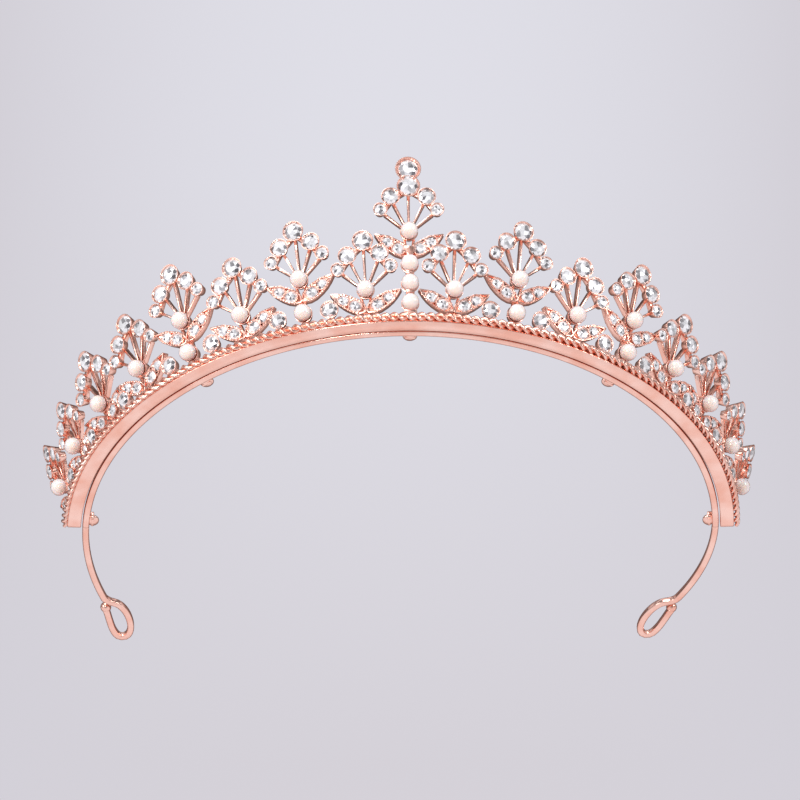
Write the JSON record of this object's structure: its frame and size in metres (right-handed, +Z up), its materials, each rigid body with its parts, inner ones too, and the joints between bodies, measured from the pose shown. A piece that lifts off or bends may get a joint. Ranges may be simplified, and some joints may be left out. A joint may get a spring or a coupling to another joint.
{
  "type": "bridal tiara",
  "caption": "Rose gold bridal tiara: fan sprays of clear stones and pearls on a curved base, held by a narrow headband with an end loop on each springy arm.",
  "frame": {"origin": "middle of the footprint, on the plane that the base rests on", "axes": "+Z up along the crest, -Y to the front of the tiara, +X to the right seen from the front"},
  "size_m": [0.1488, 0.112, 0.0345],
  "materials": {
    "rose_gold": "polished rose gold plating over cast alloy",
    "headband": "polished rose gold plating on the flat headband strip",
    "pearl": "pearlescent coat over moulded plastic",
    "rhinestone": "clear faceted stone with a silvered back"
  },
  "bodies": {
    "crest": {"crest_base": "rose_gold", "rope_edge": "rose_gold", "headband_middle": "headband", "tie_centre": "headband", "tie_left": "headband", "tie_right": "headband", "tie_left_end": "headband", "tie_right_end": "headband", "spray_left_8": "rose_gold", "spray_left_7": "rose_gold", "spray_left_6": "rose_gold", "spray_left_5": "rose_gold", "spray_left_4": "rose_gold", "spray_left_3": "rose_gold", "spray_left_2": "rose_gold", "spray_left_1": "rose_gold", "spray_centre": "rose_gold", "spray_right_1": "rose_gold", "spray_right_2": "rose_gold", "spray_right_3": "rose_gold", "spray_right_4": "rose_gold", "spray_right_5": "rose_gold", "spray_right_6": "rose_gold", "spray_right_7": "rose_gold", "spray_right_8": "rose_gold", "pearl_left_8": "pearl", "pearl_left_7": "pearl", "pearl_left_6": "pearl", "pearl_left_5": "pearl", "pearl_left_4": "pearl", "pearl_left_3": "pearl", "pearl_left_2": "pearl", "pearl_left_1": "pearl", "pearl_centre": "pearl", "pearl_right_1": "pearl", "pearl_right_2": "pearl", "pearl_right_3": "pearl", "pearl_right_4": "pearl", "pearl_right_5": "pearl", "pearl_right_6": "pearl", "pearl_right_7": "pearl", "pearl_right_8": "pearl", "lower_pearl_left_4": "pearl", "lower_pearl_left_2": "pearl", "lower_pearl_right_2": "pearl", "lower_pearl_right_4": "pearl", "column_pearl_bottom": "pearl", "column_pearl_middle": "pearl", "column_pearl_top": "pearl"},
    "left_arm": {"headband_left_arm": "headband"},
    "right_arm": {"headband_right_arm": "headband"}
  },
  "joints": [
    {"name": "left_arm_flex", "type": "hinge", "parent": "crest", "child": "left_arm", "pos_m": [-0.06537, 0.01984, 0.0007], "axis": [0, 0, 1], "range_deg": [-4, 8], "stiffness_Nm_per_rad": 1.6},
    {"name": "right_arm_flex", "type": "hinge", "parent": "crest", "child": "right_arm", "pos_m": [0.06537, 0.01984, 0.0007], "axis": [0, 0, -1], "range_deg": [-4, 8], "stiffness_Nm_per_rad": 1.6}
  ]
}
